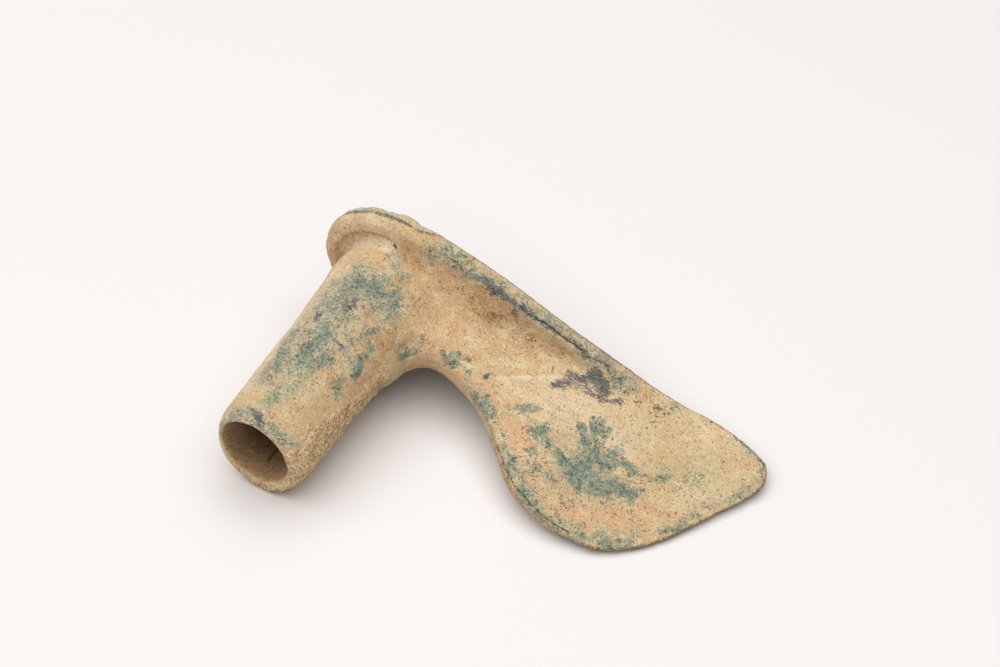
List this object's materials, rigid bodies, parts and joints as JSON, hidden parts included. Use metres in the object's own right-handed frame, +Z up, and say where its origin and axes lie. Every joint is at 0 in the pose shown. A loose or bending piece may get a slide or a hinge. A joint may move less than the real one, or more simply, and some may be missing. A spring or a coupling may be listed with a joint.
{
  "type": "bronze age shaft-hole axe head",
  "caption": "Bronze axe head with a tubular shaft socket, a flanged collar that runs on as a ridge along the blade's back, and a fan-shaped blade.",
  "frame": {"origin": "centre of the bounding box's underside, with the axe head lying as it rests", "axes": "+X out along the blade to the cutting edge, +Y along the shaft socket from its open mouth to the collar, +Z up across the blade's thickness"},
  "size_m": [0.1268, 0.074, 0.0414],
  "materials": {
    "patinated_bronze": "bronze under a matt sandy-tan earth crust, with teal, grey-green and slate-blue patina showing through in ragged patches"
  },
  "bodies": {
    "root": {"axe_head": "patinated_bronze"}
  },
  "joints": []
}
